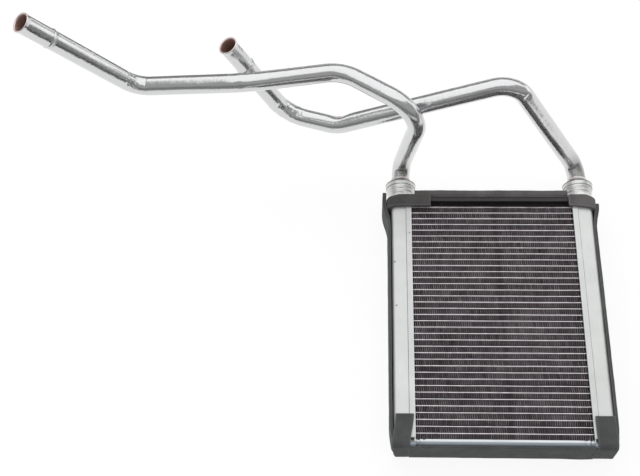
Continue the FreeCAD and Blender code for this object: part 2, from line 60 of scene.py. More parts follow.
UNION_RIM = 137.0
UNION_AROUND = 96
PIPE_RADIUS = 8.0
BORE_RADIUS = 6.8
PIPE_FLARE = 0.42
PIPE_AROUND = 64
SOCKET_DEPTH = 6.5
BEAD_SETBACK = 29.0
# Half the length of the lower side plate's channel, past which only its tabs go on.
PLATE_REACH = 69.6
STRIP_FOOT = -110.5
SIDES = ((-1, "left"), (1, "right"))

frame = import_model()


# Small helpers


def low_high(node):
    """The corners of a node's box."""
    low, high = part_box(node)
    return np.array(low) / MM, np.array(high) / MM


def unit(vector):
    return vector / np.linalg.norm(vector)


def angle_between(one, two):
    """Radians between two directions of length 1."""
    return math.acos(max(-1.0, min(1.0, float(one @ two))))


def smooth_step(value):
    value = min(max(value, 0.0), 1.0)
    return value * value * (3 - 2 * value)


def bell(away):
    """1 at 0, falling smoothly to both sides."""
    return math.exp(-away * away)


def wobble(x, y, z, scale):
    """Smooth noise from -1 to 1 at a point, with features of about the size of scale."""
    return noise.noise(Vector((x / scale, y / scale, z / scale)))


def circle(count, turn=2 * math.pi, start=0.0):
    """Cosine and sine at even steps of a turn."""
    angles = [start + turn * step / count for step in range(count)]
    return [(math.cos(angle), math.sin(angle)) for angle in angles]


def link_object(name, data):
    made = bpy.data.objects.new(name, data)
    bpy.context.scene.collection.objects.link(made)
    return made


def add_piece(name, skin, material, stands_for, smooth=True):
    """Make a mesh piece from points and faces, and tie it to the body."""
    verts, faces = skin
    mesh = bpy.data.meshes.new(name)
    mesh.from_pydata((np.asarray(verts, float) * MM).tolist(), [], faces)
    mesh.validate()
    mesh.update()
    mesh.materials.append(material)
    mesh.polygons.foreach_set("use_smooth", [smooth] * len(mesh.polygons))
    piece = link_object(name, mesh)
    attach(piece, "root")
    if stands_for:
        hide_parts(stands_for)
    return piece


def set_attribute(mesh, name, values):
    attribute = mesh.attributes.new(name, "FLOAT", "POINT")
    attribute.data.foreach_set("value", np.asarray(values, np.float32))


def sharpen(piece, degrees):
    """Keep edges sharper than an angle crisp under smooth shading."""
    piece.data.set_sharp_from_angle(angle=math.radians(degrees))


def loft(rings, loop=False):
    """Skin a list of equal rings, closed at both ends or joined into a loop."""
    count = len(rings[0])
    total = len(rings)
    verts = np.concatenate([np.asarray(ring, float) for ring in rings])
    faces = []
    for row in range(total if loop else total - 1):
        low = row * count
        high = (row + 1) % total * count
        for step in range(count):
            after = (step + 1) % count
            faces.append((low + step, low + after, high + after, high + step))
    if not loop:
        faces.append(tuple(range(count))[::-1])
        faces.append(tuple(range((total - 1) * count, total * count)))
    return verts, faces


def divided(points, step, least, count_of):
    """A path with its gaps divided into steps. Points closer than least are left out."""
    path = [points[0]]
    for point in points[1:]:
        base = path[-1]
        gap = np.linalg.norm(point - base)
        if gap < least:
            continue
        parts = max(1, int(count_of(gap / step)))
        path.extend(base + (point - base) * part / parts for part in range(1, parts + 1))
    return np.array(path)


def run_along(path):
    """The distance along a path at each of its points."""
    return np.concatenate([[0], np.cumsum(np.linalg.norm(np.diff(path, axis=0), axis=1))])


def directions(path):
    """The direction of a path at each of its points."""
    along = np.gradient(path, axis=0)
    return along / np.linalg.norm(along, axis=1)[:, None]


def bends(corners, radii):
    """Each inner corner of a path with its directions back and ahead, its turn in radians, its
    radius and the length of its shorter side."""
    for before, corner, after, radius in zip(corners, corners[1:], corners[2:], radii):
        back = unit(before - corner)
        ahead = unit(after - corner)
        shorter = min(np.linalg.norm(before - corner), np.linalg.norm(after - corner))
        yield corner, back, ahead, math.pi - angle_between(back, ahead), radius, shorter


# Materials


def feed(tree, target, source):
    """Link a socket, or write a constant."""
    if hasattr(source, "is_output"):
        tree.links.new(source, target)
    elif target.type == "RGBA":
        target.default_value = (*source, 1)
    else:
        target.default_value = source


def node_of(tree, kind, sockets=None, **settings):
    """A new shader node with its settings and what feeds its sockets."""
    made = tree.nodes.new(kind)
    for key, value in settings.items():
        setattr(made, key, value)
    for key, value in (sockets or {}).items():
        feed(tree, made.inputs[key], value)
    return made


def empty_tree(owner):
    owner.use_nodes = True
    owner.node_tree.nodes.clear()
    return owner.node_tree


def blank_material(name):
    material = bpy.data.materials.new(name)
    return material, empty_tree(material)


def new_material(name):
    material, tree = blank_material(name)
    shader = node_of(tree, "ShaderNodeBsdfPrincipled")
    node_of(tree, "ShaderNodeOutputMaterial", {"Surface": shader.outputs["BSDF"]})
    return material, tree, shader


def coordinates(tree, scale=(1, 1, 1), uv=False):
    """The object's coordinates, or the pipes' flat ones, stretched by a scale."""
    source = node_of(tree, "ShaderNodeTexCoord").outputs["UV" if uv else "Object"]
    factor = 1 if uv else 1 / MM
    sockets = {"Vector": source, "Scale": [factor * part for part in scale]}
    return node_of(tree, "ShaderNodeMapping", sockets).outputs["Vector"]


def place_value(tree, axis):
    """One of the object's coordinates."""
    return node_of(tree, "ShaderNodeSeparateXYZ", {"Vector": coordinates(tree)}).outputs[axis]


def grain(tree, vector, scale, detail=3.0, rough=0.55):
    sockets = {"Vector": vector, "Scale": scale, "Detail": detail, "Roughness": rough}
    return node_of(tree, "ShaderNodeTexNoise", sockets).outputs["Fac"]


def span(tree, value, low, high, to_low, to_high):
    """Map one range to another, held at its ends."""
    sockets = {"Value": value, "From Min": low, "From Max": high, "To Min": to_low, "To Max": to_high}
    return node_of(tree, "ShaderNodeMapRange", sockets, clamp=True).outputs["Result"]


def maths(tree, kind, one, two=0.0):
    return node_of(tree, "ShaderNodeMath", {0: one, 1: two}, operation=kind).outputs[0]


def weigh(tree, one, share, two):
    """A share of one value and the rest of another."""
    rest = maths(tree, "MULTIPLY", two, 1 - share)
    return maths(tree, "ADD", maths(tree, "MULTIPLY", one, share), rest)


def off_middle(tree, axis, middle):
    """Distance from a plane across an axis."""
    return maths(tree, "ABSOLUTE", maths(tree, "SUBTRACT", place_value(tree, axis), middle))


def blend(tree, factor, one, two):
    """Blend from one colour to another."""
    sockets = {0: factor, 6: one, 7: two}
    return node_of(tree, "ShaderNodeMix", sockets, data_type="RGBA").outputs[2]


def ramp(tree, value, low, high, one, two):
    """Blend from one colour to another as a value goes from low to high."""
    return blend(tree, span(tree, value, low, high, 0.0, 1.0), one, two)


def read_attribute(tree, name):
    return node_of(tree, "ShaderNodeAttribute", attribute_name=name).outputs["Fac"]


def spot(tree, centre, radius):
    """1 at a point of the object, falling to 0 at a radius."""
    sockets = {0: coordinates(tree), 1: centre}
    away = node_of(tree, "ShaderNodeVectorMath", sockets, operation="DISTANCE")
    return span(tree, away.outputs["Value"], 0.3 * radius, radius, 1.0, 0.0)


def dress(tree, shader, colour, metallic, rough, *relief):
    """Feed a shader. Each relief is a pattern, its height and its strength."""
    feed(tree, shader.inputs["Base Color"], colour)
    feed(tree, shader.inputs["Metallic"], metallic)
    feed(tree, shader.inputs["Roughness"], rough)
    sockets = {}
    for pattern, height, strength in relief:
        sockets.update({"Strength": strength, "Distance": height * MM, "Height": pattern})
        sockets["Normal"] = node_of(tree, "ShaderNodeBump", sockets).outputs["Normal"]
    tree.links.new(sockets["Normal"], shader.inputs["Normal"])


def polished_pipe(name):
    """Bright drawn aluminium with fine lines along the tube, scuffs and a soiled bore."""
    material, tree, shader = new_material(name)
    along = coordinates(tree, uv=True)
    fine = grain(tree, coordinates(tree, (5.0, 0.06, 1), uv=True), 1.3, 4.0, 0.6)
    broad = grain(tree, along, 0.09, 2.0)
    scuffs = grain(tree, coordinates(tree, (1.0, 0.55, 1), uv=True), 1.1, 5.0, 0.65)
    bore = read_attribute(tree, "bore")
    lip = read_attribute(tree, "lip")
    side_darkening = read_attribute(tree, "darker_side")
    colour = ramp(tree, fine, 0.35, 0.7, (0.58, 0.585, 0.59), (0.69, 0.69, 0.695))
    colour = blend(tree, span(tree, scuffs, 0.56, 0.72, 0.0, 0.45), colour, (0.48, 0.46, 0.47))
    # Darker on one side of each pipe's lower end.
    darker_side = maths(tree, "MULTIPLY", side_darkening, span(tree, scuffs, 0.38, 0.56, 1.0, 0.65))
    colour = blend(tree, darker_side, colour, (0.16, 0.168, 0.15))
    colour = blend(tree, lip, colour, (0.80, 0.70, 0.69))
    rust = blend(tree, grain(tree, along, 0.5, 3.0), (0.16, 0.07, 0.055), (0.52, 0.32, 0.27))
    colour = blend(tree, bore, colour, rust)
    sheen = span(tree, broad, 0.3, 0.7, 0.09, 0.18)
    worn = maths(tree, "ADD", sheen, span(tree, scuffs, 0.52, 0.70, 0.0, 0.20))
    dull = maths(tree, "MAXIMUM", bore, maths(tree, "MULTIPLY", lip, 0.6))
    dull = maths(tree, "MAXIMUM", dull, maths(tree, "MULTIPLY", side_darkening, 0.55))
    rough = maths(tree, "ADD", worn, maths(tree, "MULTIPLY", dull, 0.4))
    relief = ((grain(tree, along, 0.16, 2.0), 0.15, 1.0), (scuffs, 0.055, 1.0), (fine, 0.012, 1.0))
    dress(tree, shader, colour, span(tree, bore, 0.0, 1.0, 1.0, 0.35), rough, *relief)
    return material


def satin_sheet(name, low, high, rough, metallic, marks=(), shaded_within=None, reflection_below=None):
    """Brazed aluminium sheet: soft clouds, fine rolling lines and a few specks. The part nearer to
    the middle than shaded_within is painted dark as shade, and the part below reflection_below in Y
    is painted blue-grey as a dark reflection."""
    material, tree, shader = new_material(name)
    broad = grain(tree, coordinates(tree), 0.05)
    lines = grain(tree, coordinates(tree, (2.4, 0.05, 2.4)), 1.0)
    specks = grain(tree, coordinates(tree), 0.9, 2.0)
    colour = ramp(tree, weigh(tree, broad, 0.7, lines), 0.35, 0.65, low, high)
    dark = tuple(0.62 * part for part in low)
    colour = blend(tree, span(tree, specks, 0.74, 0.80, 0.0, 0.6), colour, dark)
    for centre, radius, strength in marks:
        amount = maths(tree, "MULTIPLY", spot(tree, centre, radius), strength)
        colour = blend(tree, amount, colour, (0.06, 0.055, 0.055))
    if shaded_within is not None:
        # Painted shade: the part near the middle is painted dark.
        aside = maths(tree, "ABSOLUTE", place_value(tree, "X"))
        amount = span(tree, aside, shaded_within, shaded_within + 0.12, 0.8, 0.0)
        colour = blend(tree, amount, colour, (0.10, 0.095, 0.10))
    if reflection_below is not None:
        # Painted reflection: the lower part is painted blue-grey as the reflection of the dark table and
        # foam.
        amount = span(tree, place_value(tree, "Y"), reflection_below - 0.5, reflection_below, 1.0, 0.0)
        colour = blend(tree, amount, colour, (0.23, 0.265, 0.295))
    relief = ((broad, 0.12, 1.0), (lines, 0.015, 1.0))
    dress(tree, shader, colour, metallic, span(tree, broad, 0.3, 0.7, *rough), *relief)
    return material


def fin_sheet():
    """Fin foil with painted light and shade: front and back edges painted lighter, the walls inside
    painted dark brownish.
    """
    material, tree, shader = new_material("fin_foil")
    patchy = grain(tree, coordinates(tree, (1, 1, 0.2)), 0.07)
    tone = weigh(tree, patchy, 0.5, read_attribute(tree, "leg_painted_light"))
    inside = ramp(tree, patchy, 0.38, 0.62, (0.034, 0.018, 0.020), (0.040, 0.033, 0.040))
    rim = ramp(tree, tone, 0.36, 0.80, (0.024, 0.016, 0.020), (0.61, 0.535, 0.57))
    # Painted light and shade: both edges of the strip are painted lighter as lit, and the walls between
    # them darker as the shade deep in the pack.
    colour = ramp(tree, off_middle(tree, "Z", CORE_MIDDLE), 9.6, 11.3, inside, rim)
    # A darker streak runs down the pack, a little right of the middle.
    slant = maths(tree, "MULTIPLY", place_value(tree, "Y"), 0.02)
    drift = maths(tree, "ADD", place_value(tree, "X"), slant)
    streak = maths(tree, "ABSOLUTE", maths(tree, "SUBTRACT", drift, 4.0))
    wander = maths(tree, "ADD", streak, maths(tree, "MULTIPLY", patchy, 2.0))
    colour = blend(tree, span(tree, wander, 1.6, 5.0, 0.5, 0.0), colour, (0.018, 0.014, 0.016))
    sockets = {"Scale": 0.26, "Vector": coordinates(tree)}
    louvres = node_of(tree, "ShaderNodeTexWave", sockets, wave_type="BANDS", bands_direction="Z")
    relief = (louvres.outputs["Fac"], 0.12, 1.0)
    dress(tree, shader, colour, 0.35, span(tree, tone, 0.3, 0.7, 0.45, 0.65), relief)
    return material


def tube_skin():
    """Bare tube aluminium: bright noses with small dull braze spots, painted dark further in as the
    shade between the fins.
    """
    material, tree, shader = new_material("tube_skin")
    spots = grain(tree, coordinates(tree, (1, 0.6, 1)), 0.8)
    broad = grain(tree, coordinates(tree), 0.05, 2.0)
    bright = ramp(tree, spots, 0.38, 0.66, (0.80, 0.77, 0.775), (1.0, 0.985, 0.99))
    # Painted shade: the tube's sides between the fins are painted dark.
    soil_and_shade = ramp(tree, broad, 0.3, 0.7, (0.05, 0.038, 0.04), (0.13, 0.115, 0.12))
    colour = ramp(tree, off_middle(tree, "Z", CORE_MIDDLE), 10.9, 11.25, soil_and_shade, bright)
    dress(tree, shader, colour, 0.3, span(tree, spots, 0.3, 0.7, 0.42, 0.6), (spots, 0.05, 1.0))
    return material


def charcoal_foam(name, tint):
    """Closed-cell foam: fine cells, soft mottling and paler worn edges."""
    material, tree, shader = new_material(name)
    fuzz = grain(tree, coordinates(tree), 1.1, 5.0, 0.6)
    broad = grain(tree, coordinates(tree), 0.06)
    low, high, worn = (tuple(level * part for part in tint) for level in (0.058, 0.098, 0.15))
    colour = ramp(tree, weigh(tree, broad, 0.6, fuzz), 0.35, 0.65, low, high)
    patchy = span(tree, fuzz, 0.35, 0.6, 0.35, 1.0)
    patchy = maths(tree, "MULTIPLY", read_attribute(tree, "worn"), patchy)
    colour = blend(tree, patchy, colour, worn)
    sockets = {"Scale": 2.4, "Vector": coordinates(tree)}
    cells = node_of(tree, "ShaderNodeTexVoronoi", sockets).outputs["Distance"]
    dress(tree, shader, colour, 0.0, 0.88, (fuzz, 0.35, 1.0), (cells, 0.14, 0.8))
    shader.inputs["Specular IOR Level"].default_value = 0.3
    shader.inputs["Sheen Weight"].default_value = 0.12
    shader.inputs["Sheen Roughness"].default_value = 0.5
    return material


def braze_metal():
    """Lumpy pinkish-white braze around a pipe."""
    material, tree, shader = new_material("braze")
    lumps = grain(tree, coordinates(tree), 0.7, 4.0)
    colour = ramp(tree, lumps, 0.35, 0.65, (0.52, 0.44, 0.43), (0.90, 0.85, 0.84))
    dress(tree, shader, colour, 0.6, span(tree, lumps, 0.3, 0.7, 0.3, 0.5), (lumps, 0.35, 1.0))
    return material


# Dark marks on the tanks and headers: centre, radius and strength.
TANK_MARKS = (
    ((-85.5, 49.0, 29.2), 1.3, 0.8),
    ((-84.5, 7.5, 29.2), 1.2, 0.7),
    ((-72.5, 77.0, 30.0), 1.0, 0.6),
    ((88.0, 49.0, 26.0), 1.6, 0.8),
)
pipe_metal = polished_pipe("pipe_metal")
union_metal = satin_sheet(
    "union_metal", (0.56, 0.57, 0.555), (0.76, 0.76, 0.75), (0.32, 0.44), 0.9
)
tank_metal = satin_sheet(
    "tank_metal", (0.57, 0.58, 0.57), (0.64, 0.65, 0.64), (0.36, 0.46), 0.5, TANK_MARKS
)
# The header plates are painted dark near the fins, as shade.
header_metal = satin_sheet(
    "header_metal", (0.54, 0.55, 0.55), (0.63, 0.64, 0.64), (0.34, 0.44), 0.45, TANK_MARKS,
    shaded_within=70.42,
)
# Dark metal for the seams along the flanges, and for the union rings painted as shade.
seam_and_shade_metal = satin_sheet(
    "seam_and_shade_metal", (0.17, 0.17, 0.175), (0.30, 0.30, 0.305), (0.4, 0.6), 0.5
)
# The plate's lower edge is painted blue-grey as a dark reflection.
plate_metal = satin_sheet(
    "plate_metal", (0.64, 0.665, 0.68), (0.75, 0.78, 0.80), (0.34, 0.44), 0.6, reflection_below=-111.4
)
# A dark sheet painted as shade: the foam pad's shadow on the upper side plate, and the shade in the
# openings at the flanges' ends.
painted_shade_sheet = satin_sheet(
    "painted_shade_sheet", (0.020, 0.019, 0.020), (0.040, 0.038, 0.040), (0.5, 0.7), 0.1
)
fin_foil = fin_sheet()
tube_metal = tube_skin()
foam_warm = charcoal_foam("foam", (1.0, 0.97, 0.95))
foam_cool = charcoal_foam("foam_cool", (0.97, 1.00, 1.01))
foam_pale = charcoal_foam("foam_pale", (1.50, 1.43, 1.42))
braze = braze_metal()


# Kept solids: tanks, header plates, caps and the upper side plate


KEPT_METALS = (
    ("_tank", tank_metal),
    ("_cap", tank_metal),
    ("header_plate", header_metal),
    # The upper side plate is painted dark as the shadow of the foam pad over it.
    ("upper_side_plate", painted_shade_sheet),
)
for name, node in frame["nodes"].items():
    for ending, metal in KEPT_METALS:
        if name.endswith(ending):
            node.data.materials.clear()
            node.data.materials.append(metal)


# Pipes


# The way that the darker side of each pipe's lower end faces.
DARKER_SIDE_WAY = np.array([0.16, -0.55, 0.82])


def centre_line(corners, radii, step):
    """Points along straight runs and true arcs, with the distance along the line at each."""
    points = [corners[0]]
    for corner, back, ahead, turn, radius, _ in bends(corners, radii):
        centre = corner + unit(back + ahead) * (radius / math.cos(turn / 2))
        spoke = corner + back * (radius * math.tan(turn / 2)) - centre
        side = np.cross(unit(np.cross(ahead, back)), spoke)
        pieces = max(4, int(round(radius * turn / step)))
        for part in range(pieces + 1):
            swing = turn * part / pieces
            points.append(centre + spoke * math.cos(swing) + side * math.sin(swing))
    points.append(corners[-1])
    line = divided(points, step, 0.2 * step, round)
    return line, run_along(line)


def steady_frames(line):
    """Tangent and two cross directions at each point, turning as little as possible."""
    tangents = directions(line)
    side = unit(np.cross(tangents[0], [0.0, 0.0, 1.0]))
    sides = []
    for tangent in tangents:
        side = unit(side - (side @ tangent) * tangent)
        sides.append(side)
    return tangents, np.array(sides), np.cross(tangents, sides)


def closer_stations(line, run, places, near, step):
    """The same line with points as close as step within a reach of some places along it."""
    wanted = set(np.round(run, 4).tolist())
    for place in places:
        first = max(0.0, place - near)
        last = min(run[-1], place + near)
        wanted.update(np.round(np.arange(first, last, step), 4).tolist())
    wanted = sorted(wanted)
    kept = [wanted[0]]
    for value in wanted[1:-1]:
        if value - kept[-1] > 0.6 * step:
            kept.append(value)
    kept.append(wanted[-1])
    finer = np.stack([np.interp(kept, run, line[:, axis]) for axis in range(3)], axis=1)
    return finer, np.array(kept)


def unrolled(mesh, texture, full):
    """Lay the texture around a pipe and along it, without a jump where the turn closes."""
    flat = np.zeros((len(mesh.loops), 2), np.float32)
    for polygon in mesh.polygons:
        places = [texture[mesh.loops[index].vertex_index] for index in polygon.loop_indices]
        arounds = [place[0] for place in places]
        wraps = max(arounds) - min(arounds) > full / 2
        for index, (around, along) in zip(polygon.loop_indices, places):
            flat[index] = (around + full if wraps and around < full / 2 else around, along)
    mesh.uv_layers.new(name="along").data.foreach_set("uv", flat.ravel())


def pipe_piece(word, way, offsets, mouth, dents, rumples, darker_side_spread):
    """Bent pipe from inside its collar to its mouth. Each offset from the collar's rim is a corner
    of the centre line with its bend radius."""
    rim = np.array([way * UNION_ASIDE, UNION_RIM, CORE_MIDDLE])
    corners = [rim + np.array([0.0, -SOCKET_DEPTH, 0.0])]
    corners += [rim + np.array(item[:3]) for item in offsets]
    corners.append(rim + np.array(mouth))
    line, run = centre_line(corners, [item[3] for item in offsets], 1.2)
    busy = [run[-1] - BEAD_SETBACK] + [dent[0] for dent in dents]
    line, run = closer_stations(line, run, busy, 4.5, 0.45)
    tangents, sides, ups = steady_frames(line)
    angles = np.arange(PIPE_AROUND) * 2 * math.pi / PIPE_AROUND
    rings = []
    marks = {"bore": [], "lip": [], "darker_side": []}
    texture = []

    def way_out(index, angle):
        return sides[index] * math.cos(angle) + ups[index] * math.sin(angle)

    def add_ring(index, reach, shift=0.0, soil_and_shade=0.0, bright=0.0):
        """Add a ring that has its own radius at each angle."""
        face = unit(DARKER_SIDE_WAY - (DARKER_SIDE_WAY @ tangents[index]) * tangents[index])
        # The darkening is full up to 14 mm along the pipe and gone after 34 mm more.
        fade = 1.0 - smooth_step((run[index] - 14.0) / 34.0)
        ring = []
        for angle, radius in zip(angles, reach):
            out = way_out(index, angle)
            ring.append(line[index] + tangents[index] * shift + out * radius)
            off = angle_between(out, face) / darker_side_spread
            marks["darker_side"].append(fade * math.exp(-(off**4)))
            texture.append((angle * PIPE_RADIUS, run[index] + shift))
        rings.append(np.array(ring))
        marks["bore"].extend([soil_and_shade] * PIPE_AROUND)
        marks["lip"].extend([bright] * PIPE_AROUND)

    def outside(index, angle):
        """Radius with the hose bead, the flare at the mouth, the dents and the rumpled stretches."""
        out = way_out(index, angle)
        place = run[index]
        from_mouth = run[-1] - place
        radius = PIPE_RADIUS
        radius += 0.62 * bell((from_mouth - BEAD_SETBACK) / 0.75)
        radius -= 0.30 * bell((from_mouth - BEAD_SETBACK - 1.7) / 0.55)
        radius += PIPE_FLARE * smooth_step((3.5 - from_mouth) / 3.0)
        for at, towards, along, spread, depth in dents:
            reach = (place - at) / along
            if abs(reach) < 3:
                off = angle_between(out, unit(np.array(towards))) / spread
                radius -= depth * bell(reach) * bell(off)
        point = line[index] + out * PIPE_RADIUS
        radius += 0.035 * wobble(*point, 9.0)
        for first, last, amount, size in rumples:
            if first < place < last:
                fade = math.sin(math.pi * (place - first) / (last - first))
                radius += amount * fade * wobble(*point, size)
        return radius

    ends = len(line) - 1
    for index in range(ends - 1):
        add_ring(index, [outside(index, angle) for angle in angles])
    lip = PIPE_RADIUS + PIPE_FLARE
    # Rolled lip: radius, shift along the pipe, soiling and brightness.
    rolled = [
        (lip - 0.02, -0.9, 0.0, 0.0),
        (lip + 0.04, -0.35, 0.0, 0.6),
        (lip - 0.06, -0.04, 0.0, 1.0),
        (lip - 0.42, 0.05, 0.0, 1.0),
        (BORE_RADIUS + 0.72, -0.02, 0.0, 1.0),
        (BORE_RADIUS + 0.42, -0.4, 0.1, 1.0),
        (BORE_RADIUS + 0.25, -1.0, 0.7, 0.3),
        (BORE_RADIUS + 0.05, -2.0, 1.0, 0.0),
    ]
    for radius, shift, soil_and_shade, bright in rolled:
        # The lip has one small nick.
        reach = [radius - 0.30 * bell((angle - 4.1) / 0.25) for angle in angles]
        add_ring(ends, reach, shift, soil_and_shade, bright)
    for index in [*range(ends - 2, -1, -3), 0]:
        add_ring(index, [BORE_RADIUS] * PIPE_AROUND, soil_and_shade=1.0)
    skin = loft(rings, loop=True)
    mesh = add_piece(f"pipe_{word}", skin, pipe_metal, f"{word}_pipe").data
    for mark, values in marks.items():
        set_attribute(mesh, mark, values)
    unrolled(mesh, texture, 2 * math.pi * PIPE_RADIUS)


INLET = [
    (0.0, 16.0, 0.0, 14.0),
    (16.2, 5.0, 101.5, 27.0),
    (-51.8, 48.0, 101.5, 30.0),
    (-130.3, 21.5, 121.5, 50.0),
    (-226.3, 33.0, 101.0, 20.0),
]
OUTLET = [
    (0.0, 16.0, 0.0, 14.0),
    (-64.7, 34.5, 103.5, 23.0),
    (-215.7, 32.0, 43.5, 35.0),
    (-261.2, 49.0, 37.5, 27.0),
]
# Dents: place along the pipe, direction, reach along it, spread around it in radians, depth.
INLET_DENTS = [
    (373.5, (0.81, -0.21, 0.55), 1.5, 1.3, 0.42),
    (365.0, (0.57, -0.19, 0.8), 3.4, 0.46, 0.24),
    (359.0, (0.30, -0.35, 0.89), 3.2, 0.42, 0.22),
    (353.0, (0.10, -0.50, 0.86), 3.6, 0.34, 0.18),
    (283.0, (-0.10, -0.70, 0.70), 16.0, 0.42, 0.42),
    (268.0, (-0.06, -0.82, 0.57), 2.0, 0.45, 0.40),
    (141.0, (-0.14, -0.30, 0.95), 0.45, 0.9, 0.16),
    (18.0, (-0.13, -0.60, 0.75), 4.0, 0.6, 0.30),
]
OUTLET_DENTS = [
    (362.0, (0.67, -0.60, 0.33), 2.2, 0.5, 0.55),
    (352.0, (0.52, -0.45, 0.65), 2.4, 0.45, 0.60),
    (344.0, (0.33, -0.49, 0.81), 2.0, 0.5, 0.50),
    (336.0, (0.10, -0.40, 0.90), 2.6, 0.4, 0.40),
    (294.0, (-0.20, 0.66, 0.72), 8.0, 0.55, 1.45),
    (216.0, (-0.20, -0.80, 0.50), 5.0, 0.5, 0.45),
    (126.0, (0.30, -0.78, 0.55), 1.5, 0.40, 0.80),
    (22.0, (-0.29, -0.70, 0.65), 4.0, 0.5, 0.30),
]
# Rumpled stretches: first and last place along the pipe, amount, size of the lumps.
INLET_RUMPLES = [(345.0, 380.0, 0.12, 5.5), (9.0, 34.0, 0.08, 6.0), (395.0, 442.0, 0.07, 2.4)]
OUTLET_RUMPLES = [(328.0, 372.0, 0.50, 4.0), (8.0, 40.0, 0.16, 5.0), (104.0, 140.0, 0.06, 7.0)]
pipe_piece("inlet", -1, INLET, (-297.8, 19.5, 202.5), INLET_DENTS, INLET_RUMPLES, 0.62)
pipe_piece("outlet", 1, OUTLET, (-305.2, 52.0, 132.0), OUTLET_DENTS, OUTLET_RUMPLES, 0.95)


# Unions


# Radius and height of the turned outside, then of the socket and the water way.
UNION_OUTSIDE = [
    (9.7, 0.0), (10.7, 0.2), (11.3, 1.0), (11.45, 2.6), (11.45, 4.0), (11.35, 5.0),
    (11.12, 5.6), (11.12, 6.0), (11.6, 6.8), (12.0, 7.6), (12.05, 8.2), (11.85, 8.8),
    (11.6, 9.2), (11.65, 9.6), (12.2, 10.4), (12.6, 11.8), (12.85, 13.6), (13.1, 14.8),
    (13.25, 15.6), (13.05, 16.3), (12.4, 16.6), (11.4, 16.7), (10.2, 17.1), (9.3, 18.0),
    (8.85, 19.4), (8.6, 20.8), (8.45, 21.4), (8.25, 21.7), (8.06, 21.8),
]
UNION_INSIDE = [(8.06, 15.1), (6.8, 15.0), (6.8, 0.0)]
# Dull grooves turned into a union, with dark rings painted as the shadow and dark reflection at its rim
# and collar: radius, height and half the width.
UNION_GROOVES_AND_SHADE = [(12.98, 16.3, 0.42), (8.85, 19.9, 0.26), (12.66, 12.6, 0.34)]
# Crimp marks on both sides of the front, under the rim: angles in degrees, and height.
CRIMP_ANGLES = (-25.0, 24.0)
CRIMP_HEIGHT = 13.4


def ring_bead(name, foot, radius, height, size, counts, uneven, lift, material):
    """Bead around a union. Its section is wide and tall by size, scaled by uneven and raised by
    lift, which are functions of the place around it. counts are its points around and across."""
    upright = np.array([0.0, 1.0, 0.0])
    rings = []
    for cosine, sine in circle(counts[0]):
        out = np.array([cosine, 0.0, sine])
        # A place on a fixed circle, so that the unevenness closes on itself.
        place = (9 * cosine, 9 * sine)
        wide, tall = (part * uneven(*place) for part in size)
        middle = foot + out * radius + upright * (height + lift(*place))
        section = circle(counts[1])
        rings.append(np.array([middle + out * wide * x + upright * tall * y for x, y in section]))
    add_piece(name, loft(rings, loop=True), material, None)


def union_pieces():
    floor = low_high("pipe_unions")[0][1]
    verts = []
    faces = []
    for way, _ in SIDES:
        rings = []
        for radius, height in UNION_OUTSIDE + UNION_INSIDE:
            ring = []
            for x, y in circle(UNION_AROUND):
                ring.append((way * UNION_ASIDE + radius * x, floor + height, CORE_MIDDLE + radius * y))
            rings.append(ring)
        part, skin = loft(rings, loop=True)
        base = len(verts)
        verts.extend(part.tolist())
        faces.extend(tuple(base + index for index in face) for face in skin)
    for vert in verts:
        middle = math.copysign(UNION_ASIDE, vert[0])
        turn = math.atan2(vert[0] - middle, vert[2] - CORE_MIDDLE)
        for mark in CRIMP_ANGLES:
            aside = (math.degrees(turn) - mark) / 4.5
            off = aside**2 + ((vert[1] - floor - CRIMP_HEIGHT) / 0.9) ** 2
            if off < 4:
                depth = 0.2 * math.exp(-off)
                vert[0] -= depth * math.sin(turn)
                vert[2] -= depth * math.cos(turn)
    sharpen(add_piece("unions", (verts, faces), union_metal, "pipe_unions"), 50)
    for way, word in SIDES:
        foot = np.array([way * UNION_ASIDE, floor, CORE_MIDDLE])

        def lumpy(x, y):
            return 1.0 + 0.35 * wobble(x + 40 * way, 3.0, y, 3.2)

        def risen(x, y):
            return 0.35 * wobble(x, 20.0 * way, y, 4.0)

        def level(x, y):
            return 0.0

        size = (0.85, 1.35)
        ring_bead(f"braze_{word}", foot, 8.05, 21.7, size, (72, 12), lumpy, risen, braze)
        for number, (radius, height, thick) in enumerate(UNION_GROOVES_AND_SHADE):

            def uneven(x, y):
                return 1.0 + 0.4 * wobble(x + 7 * number, 5.0 * way, y, 3.0)

            # Each ring is painted dark as the shadow and reflection at a groove.
            name = f"groove_shade_{word}_{number}"
            size = (thick, thick)
            ring_bead(name, foot, radius, height, size, (UNION_AROUND, 8), uneven, level, seam_and_shade_metal)


union_pieces()


# Tubes


